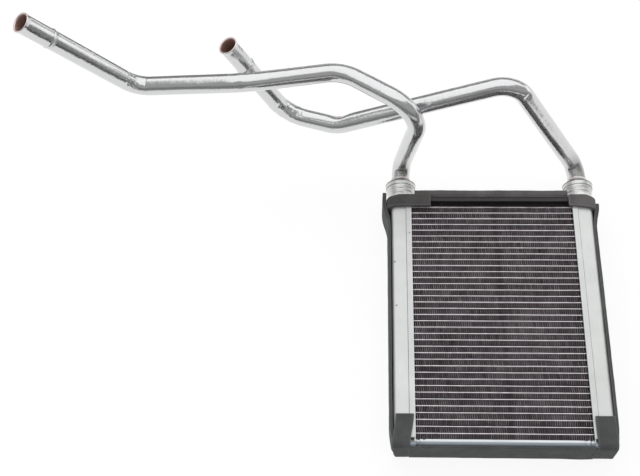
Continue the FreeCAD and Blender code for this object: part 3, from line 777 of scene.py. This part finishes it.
def tube_piece(number):
    """Flat tube with a narrow rounded nose at the front and a full round at the back."""
    low, high = low_high(f"tube_{number:02d}")
    half_high = (high[1] - low[1]) / 2
    middle = (high[1] + low[1]) / 2
    front = high[2] - half_high
    back = low[2] + half_high
    shoulder = front - 1.2
    # The first tube's nose shows the folds that were brazed to it as small waves.
    wavy = number == 1
    stations = 400 if wavy else 60
    rings = []
    for east in np.linspace(low[0], high[0], stations):
        sag = 0.10 * wobble(east, middle, 0.0, 26.0)
        push = 0.10 * wobble(east, middle, 9.0, 12.0)
        nose = half_high * (0.64 + 0.12 * wobble(east, middle, 4.0, 2.4))
        if wavy:
            sag += 0.34 * math.sin(2 * math.pi * east / 1.85 + 1.5 * wobble(east, 0.0, 0.0, 9.0))
            nose = half_high * (0.52 + 0.2 * wobble(east, 1.0, 4.0, 5.0))
        ring = []
        for x, y in circle(7, 7 * math.pi / 6, -math.pi / 2):
            ring.append((east, middle + sag + nose * y, front + push + nose * x))
        ring.append((east, middle + half_high, shoulder))
        for x, y in circle(7, 7 * math.pi / 6, math.pi / 2):
            ring.append((east, middle + half_high * y, back + half_high * x))
        ring.append((east, middle - half_high, shoulder))
        rings.append(ring)
    name = f"flat_{number:02d}"
    sharpen(add_piece(name, loft(rings), tube_metal, f"tube_{number:02d}"), 60)


for number in range(1, TUBE_COUNT + 1):
    tube_piece(number)


# Folded fins


# Bent patches of the fins: X, Y, radius and how far the edges are pushed.
BENT_SPOTS = [
    (18.0, 80.0, 5.0, 0.9),
    (70.0, 92.0, 4.0, -0.8),
    (-48.0, 69.0, 4.5, 0.9),
    (-60.0, -82.0, 3.5, 0.9),
    (35.0, 20.0, 4.0, -0.6),
    (-20.0, -40.0, 5.0, 0.6),
]


def edge_push(east, north):
    """How far the foil's front edge is pushed aside at a place."""
    push = 0.16 * wobble(east, north, 4.0, 3.0)
    for spot_east, spot_north, reach, much in BENT_SPOTS:
        away = ((east - spot_east) ** 2 + (north - spot_north) ** 2) / reach**2
        if away < 6:
            push += much * math.exp(-away)
    return push


def fin_rows(name, rows):
    """Folded strips of foil, counted from the lower side plate, with a painted light and shade value for
    each leg.
    """
    low, high = low_high("fins")
    legs = 157
    foil = 0.12
    gap = (high[1] - low[1] + TUBE_THICK) / (TUBE_COUNT + 1) - TUBE_THICK
    width = (high[0] - low[0]) / legs
    # The foil is thicker at its front edge, where the cut turned it over.
    depths = (
        (low[2], foil / 2, False),
        (high[2] - 3.6, foil / 2, False),
        (high[2] - 0.25, 0.8 * foil, True),
        (high[2], 0.8 * foil, True),
    )
    layers = len(depths)
    verts = []
    faces = []
    leg_painted_lights = []
    for row in rows:
        # The outermost row is taller, because it fills the space to the lower side plate.
        taller = 0.85 if row == 0 else 0.0
        middle = low[1] + gap / 2 + row * (gap + TUBE_THICK) - taller
        half_row = gap / 2 - foil / 2 + taller
        slip = 0.105 * wobble(row * 7.0, 3.0, 1.0, 5.0)
        line = []
        tones = []
        for leg in range(legs):
            east = low[0] + width * (leg + 0.5) + 0.14 * wobble(leg * 3.1, row * 5.3, 2.0, 2.3)
            up_way = 1 if (leg + row) % 2 == 0 else -1
            lean = 0.19 + 0.08 * wobble(leg * 2.3, row * 3.7, 6.0, 2.9)
            # Painted light and shade: one leg of each fold is painted lit and the next shaded, and the
            # row under the foam is painted in its shadow.
            shade = (0.84 if leg % 2 == 0 else 0.14) + 0.6 * wobble(leg * 1.7, row * 4.1, 8.0, 1.3)
            shade = shade - 1.0 if row == TUBE_COUNT else shade
            # A leg ends below the crest, and the crest is flat.
            rise = up_way * (half_row - 0.30)
            crest = middle + up_way * (half_row - 0.05)
            line += [(east - lean, middle - rise), (east + lean, middle + rise)]
            if leg < legs - 1:
                fold = east + 0.5 * width
                line += [(fold - 0.14, crest), (fold + 0.14, crest)]
            tones += [shade] * (len(line) - len(tones))
        line = np.array(line)
        line[:, 0] = np.clip(line[:, 0] + slip, low[0], high[0])
        along = directions(line)
        base = len(verts)
        for way in (-1, 1):
            for depth, half_foil, bent in depths:
                for (east, north), (x, y) in zip(line, along):
                    push = edge_push(east, north) if bent else 0.0
                    verts.append((east - way * y * half_foil + push, north + way * x * half_foil, depth))
                leg_painted_lights += tones
        count = len(line)
        # Lines along both sides of the foil, joined in pairs whose faces look outwards. The last
        # pair of each list closes the foil's front edge or its back edge.
        left = [base + layer * count for layer in range(layers)]
        right = [rail + layers * count for rail in left]
        left_pairs = [*zip(left, left[1:]), (left[-1], right[-1])]
        right_pairs = [*zip(right, right[1:]), (left[0], right[0])]
        for index in range(count - 1):
            for one, two in left_pairs:
                faces.append((one + index, one + index + 1, two + index + 1, two + index))
            for one, two in right_pairs:
                faces.append((one + index, two + index, two + index + 1, one + index + 1))
        for index in (0, count - 1):
            for one, two in zip(left[:-1], right):
                faces.append(tuple(index + rail for rail in (one, one + count, two + count, two)))
    piece = add_piece(name, (verts, faces), fin_foil, "fins", smooth=False)
    set_attribute(piece.data, "leg_painted_light", leg_painted_lights)


fin_rows("fins_lower", range(0, 19))
fin_rows("fins_upper", range(19, TUBE_COUNT + 1))


# Lower side plate, its tabs and the seams along the header flanges


# Section of the channel in Y and Z, from the wall on the fins round the front flange.
PLATE_SECTION = [
    (-109.2, 4.0), (-109.2, 28.4), (-110.9, 28.9), (-110.9, 29.6), (-111.3, 29.9), (-113.0, 29.9),
    (-113.9, 29.75), (-114.5, 29.2), (-114.8, 28.3), (-114.7, 27.4), (-114.0, 27.6),
    (-113.0, 28.3), (-111.9, 28.0), (-111.4, 26.0), (-111.2, 5.0), (-112.8, 4.4),
    (-112.8, 3.4), (-109.4, 3.2),
]


def lower_plate():
    """Folded channel: bright front flange, rounded lower edge, crimped ends and lapping tabs."""
    ends = np.linspace(60.0, 77.0, 52)
    # The middle of the rolled flange, towards which the crimps press it.
    middle = np.array([-112.6, 28.6])
    rings = []
    for east in np.concatenate([-ends[::-1], np.linspace(-59.0, 59.0, 60), ends]):
        side = abs(east)
        beyond = smooth_step((side - PLATE_REACH) / 1.4)
        crimp = bell((side - 68.3) / 1.0) + 0.6 * bell((side - 64.0) / 1.1)
        rough = 0.12 * (0.4 + 1.2 * smooth_step((side - 58.0) / 6.0))
        ring = []
        for north, up in PLATE_SECTION:
            place = np.array([north, up])
            if up > 20.0:
                place = middle + (place - middle) * (1.0 - 0.22 * crimp)
                place[1] -= 0.5 * crimp
                place[0] += rough * wobble(east, up, 2.0, 3.0) - 0.9 * beyond
            # Past the header plate only the tab goes on, over the tank's face.
            if beyond > 0:
                place[1] += (max(place[1], 29.3) - place[1]) * beyond
                if place[0] > -111.0:
                    place[0] += (-112.4 - place[0]) * beyond
                if up > 29.0:
                    place[1] += 0.5 * beyond
            ring.append((east, *place))
        rings.append(ring)
    piece = add_piece("plate_lower", loft(rings), plate_metal, "lower_side_plate")
    sharpen(piece, 40)


def thin_bar(name, easts, norths, half_wide, material):
    """Long low bead over the tank's front along Y, with a slightly uneven width."""
    rings = []
    for east, north in zip(easts, norths):
        wide = half_wide * (1.0 + 0.3 * wobble(north, east, 5.0, 4.0))
        profile = [(-wide, -0.2), (-0.6 * wide, 0.05), (0.6 * wide, 0.05), (wide, -0.2)]
        rings.append([(east + aside, north, TANK_FRONT + up) for aside, up in profile])
    add_piece(name, loft(rings), material, None)


def flange_seams():
    for way, word in SIDES:
        norths = np.linspace(-106.8, 106.8, 160)
        easts = [way * (75.25 + 0.06 * wobble(3.0, north, way, 7.0)) for north in norths]
        thin_bar(f"seam_{word}", easts, norths, 0.30, seam_and_shade_metal)
        # Dark sheets painted as the shade in the openings where the flange stops short of the tank's
        # end.
        thin_bar(f"gap_{word}", [way * 73.0] * 6, np.linspace(-110.9, -108.3, 6), 2.3, painted_shade_sheet)


lower_plate()
flange_seams()


# Foam


def filleted(points, radii, step):
    """A plane path with its corners rounded, sampled closely."""
    points = [np.array(point, float) for point in points]
    path = [points[0]]
    for corner, back, ahead, turn, radius, shorter in bends(points, radii):
        if turn < 0.02:
            path.append(corner)
            continue
        take = min(radius * math.tan(turn / 2), 0.49 * shorter)
        start = corner + back * take
        end = corner + ahead * take
        parts = max(4, int(radius * turn / step) + 1)
        for part in range(parts + 1):
            share = part / parts
            curve = (1 - share) ** 2 * start + 2 * share * (1 - share) * corner + share**2 * end
            path.append(curve)
    path.append(points[-1])
    return divided(path, step, 1e-6, math.ceil)


def rounded_section(half_across, half_along, radius):
    """A rounded rectangle around 0, with how worn each point is: most at the corners."""
    steps = 4
    quarters = ((1, 1, 0), (-1, 1, 90), (-1, -1, 180), (1, -1, 270))
    half = np.array([half_across - radius, half_along - radius])
    points = []
    worn = []
    for index, (way_a, way_b, start) in enumerate(quarters):
        centre = half * (way_a, way_b)
        for step in range(steps + 1):
            angle = math.radians(start + 90 * step / steps)
            points.append(centre + radius * np.array([math.cos(angle), math.sin(angle)]))
            worn.append(1.0 - abs(2 * step / steps - 1) * 0.6)
        # Points along the straight side after this corner.
        next_a, next_b, _ = quarters[(index + 1) % 4]
        side = half * (next_a, next_b) - centre
        corner_end = points[-1]
        count = 3 if next_a != way_a else 12
        for step in range(1, count):
            points.append(corner_end + side * step / count)
            worn.append(0.0)
    return points, worn


def foam_piece(name, rings, worn, material, node):
    piece = add_piece(name, loft(rings), material, node)
    set_attribute(piece.data, "worn", worn)


def ribbon(name, path, thickness, width, axes, node, material, rounding=0.55, lump=0.16, lean=None):
    """Foam strip along a plane path. thickness(share) lies across the path and width(share) gives
    its two edges along the third axis, with the share of the path's length from 0 to 1."""
    run = run_along(path)
    tangent = directions(path)
    normal = np.stack([-tangent[:, 1], tangent[:, 0]], axis=1)
    last = len(path) - 1
    # Place on the path, shift along it, and how far the ends are drawn in.
    stations = [(0, 0.0, 0.225), (0, 0.18, 0.075)]
    stations += [(index, 0.0, 0.0) for index in range(1, last)]
    stations += [(last, -0.18, 0.075), (last, 0.0, 0.225)]
    rings = []
    worn = []
    for index, move, drawn in stations:
        share = run[index] / run[-1]
        thick = thickness(share)
        low, high = width(share)
        radius = min(rounding, 0.45 * thick)
        section, wear = rounded_section(thick / 2 - drawn, (high - low) / 2 - drawn, radius)
        ring = []
        for across, along in section:
            point = np.zeros(3)
            point[axes[:2]] = path[index] + tangent[index] * move + normal[index] * across
            point[axes[2]] = (low + high) / 2 + along
            if lean is not None:
                point[0] += lean(point)
            swell = lump * (wobble(*point, 11.0) + 0.5 * wobble(*point, 3.5))
            point[axes[:2]] += normal[index] * swell
            point[axes[2]] += 0.8 * lump * wobble(point[2], point[0], point[1], 9.0)
            ring.append(point)
        rings.append(ring)
        worn += [max(value, 0.8 if drawn else 0.0) for value in wear]
    foam_piece(name, rings, worn, material, node)


def foam_band(word, way, reach, outer, material):
    """Band folded over the front, the outer wall and the back of a tank at the pipe end."""
    node = f"foam_band_{word}"
    low, high = low_high(node)
    thin = 2.9
    back_reach = 64.0
    front = high[2] - 1.5
    back = low[2] + 1.5
    side = (outer + TANK_SIDE) / 2
    corners = [(reach, front), (side, front), (side, back), (back_reach, back)]
    path = filleted([(way * east, up) for east, up in corners], (4.6, 3.6), 1.2)
    total = 2 * side - reach - back_reach + front - back
    fold = (side - reach) / total
    turned = (side - reach + front - back) / total

    def thickness(share):
        on_wall = smooth_step((share - fold + 0.05) / 0.05) * smooth_step((turned + 0.02 - share) / 0.05)
        return thin + (outer - TANK_SIDE - thin) * on_wall

    def width(share):
        drop = smooth_step((share - fold + 0.10) / 0.13)
        lift = 1.1 if way < 0 else 1.4 - smooth_step((share - fold + 0.20) / 0.18)
        return low[1] + lift - 1.4 * drop, high[1] - 3.4 * drop + 0.35

    ribbon(f"band_{word}", path, thickness, width, [0, 2, 1], node, material)


def foam_strip(word, way, edge):
    """Strip along a tank's outer wall, which stands off at its top to clear the corner band, with
    a thicker root behind its front that fills the wedge at the wall. Its outer edge goes through
    points of Y and X."""
    node = f"foam_strip_{word}"
    low, high = low_high(node)
    top = edge[-1][0]
    heights = np.concatenate([np.arange(STRIP_FOOT, 78.0, 3.0), np.arange(78.0, top, 1.0), [top]])
    far = np.interp(heights, *zip(*edge))
    for _ in range(4):
        far[1:-1] = (far[:-2] + 2 * far[1:-1] + far[2:]) / 4
    thick = np.interp(heights, [STRIP_FOOT, 84.0, 98.0, top], [2.4, 2.5, 3.3, 3.6])
    near = far - thick
    part = (heights > -109.0) & (heights < 101.5)
    root = np.full(part.sum(), TANK_SIDE)
    root_far = np.maximum(near[part] + 0.6, 88.7)

    def bar(name, norths, inner, outer, back, front, rounding, lump):
        share_of = (norths - norths[0]) / (norths[-1] - norths[0])
        path = np.stack([way * (inner + outer) / 2, norths], axis=1)

        def thickness(share):
            return float(np.interp(share, share_of, outer - inner))

        def width(share):
            return back, front

        ribbon(name, path, thickness, width, [0, 1, 2], node, foam_cool, rounding, lump)

    bar(f"strip_{word}", heights, near, far, low[2] + 0.2, high[2] - 1.2, 0.35, 0.16)
    bar(f"root_{word}", heights[part], root, root_far, low[2] + 0.6, 21.0, 0.2, 0.05)


def foam_patch(word, way, top, inset, cut_off):
    """Patch folded under a tank's lower end, a little askew, with its outer corner cut round."""
    node = f"foam_patch_{word}"
    low, high = low_high(node)
    foot = -116.3
    front = 31.0
    back = 3.4
    path = filleted([(top, front), (foot, front), (foot, back), (-93.5, back)], (3.8, 5.0), 1.0)

    def thickness(share):
        """On the front, then under the tank, then on the back."""
        return 2.0 if share < 0.33 else (1.5 if share < 0.75 else 2.8)

    def width(share):
        return low[0] + inset, high[0] - inset

    def lean(point):
        east, north, up = point
        down = smooth_step((-88.5 - north) / 28.0)
        under = smooth_step((30.0 - up) / 30.0) if north < -112.0 else 0.0
        if way < 0:
            aside = -3.4 * down - 1.0 * under
        else:
            bulge = 0.5 * bell((north + 106.0) / 7.0) * smooth_step((east - 72.0) / 10.0)
            # The outer corner stays out, over the corner of the tank.
            held = smooth_step((east - 76.0) / 11.0)
            aside = 1.2 + 0.4 * down + bulge - (3.4 - 3.0 * held) * under
        outer = way * east - 78.0
        if outer > 0 and up < 29.0 and north < -108.0:
            aside -= way * cut_off * smooth_step((29.0 - up) / 27.0) * min(1.0, outer / 9.0)
        return aside

    ribbon(f"patch_{word}", path, thickness, width, [1, 2, 0], node, foam_cool, lean=lean)


def foam_pad(name, corners, radii, west, east_end, node, material, swell):
    """Pad along X with its own section in Y and Z, moved by swell(east, north, up)."""
    section = filleted(corners + corners[:1], radii, 1.2)[:-1]
    inner = np.linspace(west + 1.0, east_end - 1.0, 90)
    stations = np.concatenate([[west, west + 0.25], inner, [east_end - 0.25, east_end]])
    centre = section.mean(axis=0)
    rings = []
    worn = []
    for index, east in enumerate(stations):
        end = index in (0, len(stations) - 1)
        ring = []
        for north, up in section:
            away = np.array([north, up]) - centre
            place = np.array([north, up]) - (0.4 if end else 0.0) * unit(away)
            push = swell(east, north, up)
            lump = 0.14 * wobble(east, north, up, 10.0) + 0.07 * wobble(east, north, up, 3.0)
            ring.append((east, place[0] + push[0] + lump * np.sign(away[0]), place[1] + push[1] + lump))
        rings.append(ring)
        worn += [0.7 if end else 0.0] * len(ring)
    foam_piece(name, rings, worn, material, node)


def top_pad():
    low, high = low_high("foam_top")
    rim = 113.2
    front = high[2]
    back = low[2]
    corners = [
        (110.5, 4.0), (110.5, 29.0), (rim, 29.0), (rim, 30.0), (114.6, 30.0), (114.7, front),
        (high[1], front), (high[1], back), (114.7, back), (114.6, 3.0), (rim, 3.0), (rim, 4.0),
    ]
    radii = (0.2, 0.1, 0.2, 0.2, 0.5, 2.4, 2.4, 0.5, 0.2, 0.2, 0.1)

    def swell(east, north, up):
        rise = 0.25 * wobble(east, 3.0, 1.0, 30.0) - 0.1
        forward = 0.0
        # Between the corner bands the pad's lower front edge stands forward.
        if 112.9 < north < 114.66 and up > 29.5:
            forward = 0.95 * smooth_step((east + 52.5) / 1.5) * smooth_step((66.0 - east) / 1.5)
        return rise * smooth_step((north - 115.0) / 4.0), forward

    foam_pad("pad_top", corners, radii, -67.3, 67.3, "foam_top", foam_pale, swell)


def bottom_pad():
    foot = low_high("foam_bottom")[0][1] - 1.15
    tongue_top = -115.62
    corners = [
        (-111.6, 4.0), (-114.0, 4.0), (-114.2, 3.2), (foot, 3.2), (foot, 29.7),
        (-115.2, 29.7), (-114.6, 29.0), (-111.6, 29.0),
    ]
    radii = (0.1, 0.2, 1.2, 1.6, 0.5, 0.2, 0.1)

    def swell(east, north, up):
        push = -0.35 * bell((east - 62.0) / 9.0) * smooth_step((-113.0 - north) / 2.0)
        # Past the plate's ends the pad goes on as a thin tongue under the tank.
        if abs(east) > PLATE_REACH:
            push += min(0.0, tongue_top - north)
        return push, 0.0

    foam_pad("pad_bottom", corners, radii, -75.6, 72.2, "foam_bottom", foam_cool, swell)


LEFT_EDGE = [
    (STRIP_FOOT, 89.4), (-98.0, 91.2), (86.0, 91.3), (93.0, 92.6), (98.0, 94.2), (103.0, 95.5),
    (108.0, 96.0), (117.6, 95.7),
]
RIGHT_EDGE = [
    (STRIP_FOOT, 89.4), (-98.0, 90.6), (-60.0, 90.6), (84.0, 90.2), (91.0, 91.2), (98.0, 93.0),
    (103.5, 93.9), (107.0, 94.0),
]
foam_band("left", -1, 53.5, 92.2, foam_warm)
foam_band("right", 1, 67.5, 91.4, foam_pale)
foam_strip("left", -1, LEFT_EDGE)
foam_strip("right", 1, RIGHT_EDGE)
foam_patch("left", -1, -89.0, 0.8, 4.6)
foam_patch("right", 1, -89.8, 0.2, 0.4)
top_pad()
bottom_pad()


# Floor, light and camera


def white_for_sight(tree, output, plain, white, camera_share):
    """Show a plain surface to the light, and a white one to the camera and to reflections."""
    path = node_of(tree, "ShaderNodeLightPath").outputs
    seen = maths(tree, "MULTIPLY", path["Is Camera Ray"], camera_share)
    shine = maths(tree, "MAXIMUM", path["Is Glossy Ray"], path["Is Transmission Ray"])
    sockets = {0: maths(tree, "MAXIMUM", seen, shine), 1: plain.outputs[0], 2: white.outputs[0]}
    mix = node_of(tree, "ShaderNodeMixShader", sockets)
    node_of(tree, output, {"Surface": mix.outputs[0]})


def stage_panel(name, verts):
    mesh = bpy.data.meshes.new(name)
    mesh.from_pydata(verts, [], [tuple(range(len(verts)))])
    panel = link_object(name, mesh)
    return panel


def floor():
    reach = 6.0
    corners = [(-reach, -reach, 0), (reach, -reach, 0), (reach, reach, 0), (-reach, reach, 0)]
    plane = stage_panel("floor", corners)
    plane.location.z = -0.0003
    material, tree = blank_material("floor_white")
    matt = node_of(tree, "ShaderNodeBsdfDiffuse", {"Color": (0.86, 0.86, 0.86)})
    glow = node_of(tree, "ShaderNodeEmission", {"Strength": 1.06})
    white_for_sight(tree, "ShaderNodeOutputMaterial", matt, glow, 0.84)
    plane.data.materials.append(material)


def world():
    made = bpy.data.worlds.new("studio")
    bpy.context.scene.world = made
    tree = empty_tree(made)
    soft = node_of(tree, "ShaderNodeBackground", {"Color": (1, 1, 1), "Strength": 0.62})
    white = node_of(tree, "ShaderNodeBackground", {"Color": (1, 1, 1), "Strength": 1.0})
    white_for_sight(tree, "ShaderNodeOutputWorld", soft, white, 1.0)


CAMERA_AT = Vector((-0.11227, -0.40812, 0.90807))
RIGHT = Vector((0.99927, 0.02085, -0.03191))
UP = Vector((-0.003, 0.87756, 0.47946))
FORWARD = Vector((-0.038, 0.47901, -0.87699))
MIDDLE = Vector((-0.13, 0.05, 0.08))


def lamp(name, angle, aside, distance, wide, tall, power):
    """A soft box placed by its angle above the camera's line of sight, seen from the object."""
    up = math.radians(angle)
    side = math.radians(aside)
    way = (-FORWARD * math.cos(up) + UP * math.sin(up)) * math.cos(side) + RIGHT * math.sin(side)
    light = bpy.data.lights.new(name, "AREA")
    light.shape = "RECTANGLE"
    light.size = wide
    light.size_y = tall
    light.energy = power
    thing = link_object(name, light)
    thing.location = MIDDLE + way * distance
    thing.rotation_mode = "QUATERNION"
    thing.rotation_quaternion = (-way).to_track_quat("-Z", "Y")


def card(name, verts, tones, low_tone, high_tone):
    """A panel that only reflections see, shaded from one tone to another by a value at each point."""
    panel = stage_panel(name, verts)
    set_attribute(panel.data, "rise", tones)
    panel.visible_camera = False
    panel.visible_diffuse = False
    panel.visible_shadow = False
    panel.visible_transmission = False
    panel.visible_volume_scatter = False
    material, tree = blank_material(name + "_tone")
    tone = span(tree, read_attribute(tree, "rise"), 0.0, 1.0, low_tone, high_tone)
    glow = node_of(tree, "ShaderNodeEmission", {"Strength": tone})
    node_of(tree, "ShaderNodeOutputMaterial", {"Surface": glow.outputs[0]})
    panel.data.materials.append(material)


def camera():
    lens = bpy.data.cameras.new("camera")
    lens.sensor_fit = "HORIZONTAL"
    lens.sensor_width = 36.0
    lens.lens = 64.6875
    lens.clip_start = 0.01
    lens.clip_end = 50.0
    thing = link_object("camera", lens)
    columns = Matrix((RIGHT, UP, -FORWARD)).transposed().to_4x4()
    thing.matrix_world = Matrix.Translation(CAMERA_AT) @ columns
    bpy.context.scene.camera = thing


# The room that the pipes reflect: a bright panel in a dim ceiling, dim walls, a bright part of the
# right wall, and dim parts of the table.
TABLE = 0.0001
CEILING = 1.0
PANEL_CORNERS = [
    (-0.78, -0.42), (0.20, -0.20), (0.47, 0.02), (0.75, 0.35), (3.0, 1.2), (3.0, 1.7), (-1.5, 1.7),
    (-0.84, 0.5),
]
CEILING_CORNERS = [(-3.0, -3.0), (3.0, -3.0), (3.0, 3.0), (-3.0, 3.0)]
SIDE_CORNERS = [(-0.12, -0.13), (3.0, -0.13), (3.0, -2.5), (-0.12, -2.5)]
FRONT_CORNERS = [(-3.0, -0.36), (-0.12, -0.36), (-0.12, -1.6), (-3.0, -1.6)]
BACK_CORNERS = [(-3.0, 0.40), (0.35, 0.40), (-0.25, 0.85), (-0.7, 3.0), (-3.0, 3.0)]
# Level cards: name, corners, height, which corners have the second tone, and the two tones.
LEVEL_CARDS = [
    ("panel", PANEL_CORNERS, 0.98, [0] * 8, 1.32, 1.32),
    ("ceiling", CEILING_CORNERS, CEILING, [0] * 4, 0.45, 0.45),
    ("dark_side", SIDE_CORNERS, TABLE, [0, 1, 1, 0], 0.08, 0.5),
    ("dim_front", FRONT_CORNERS, TABLE, [0, 0, 1, 1], 0.5, 0.35),
    ("dim_back", BACK_CORNERS, TABLE, [0, 0, 0, 1, 1], 0.22, 0.4),
]
# Walls: name, foot of the start, foot of the end, and the tones of both.
WALL_CARDS = [
    ("front_wall", (-3.0, -1.6), (3.0, -1.6), 0.26, 0.26),
    ("back_wall", (-3.0, 2.6), (3.0, 2.6), 0.3, 0.3),
    ("left_wall", (-3.0, -1.6), (-3.0, 2.6), 0.5, 0.9),
    ("right_dim", (3.0, -1.6), (3.0, -0.2), 0.26, 0.3),
    ("right_rise", (3.0, -0.2), (3.0, 0.9), 0.3, 1.4),
    ("right_bright", (3.0, 0.9), (3.0, 2.6), 1.4, 1.4),
]
floor()
world()
lamp("key", 66.0, -8.0, 1.5, 2.2, 1.0, 10.0)
lamp("fill", -72.0, 20.0, 1.5, 1.6, 0.8, 3.0)
for name, corners, height, tones, low_tone, high_tone in LEVEL_CARDS:
    card(name, [(*corner, height) for corner in corners], tones, low_tone, high_tone)
for name, start, end, low_tone, high_tone in WALL_CARDS:
    verts = [(*start, 0.0), (*end, 0.0), (*end, CEILING), (*start, CEILING)]
    card(name, verts, [0, 1, 1, 0], low_tone, high_tone)
camera()
bpy.context.scene.view_settings.view_transform = "Standard"
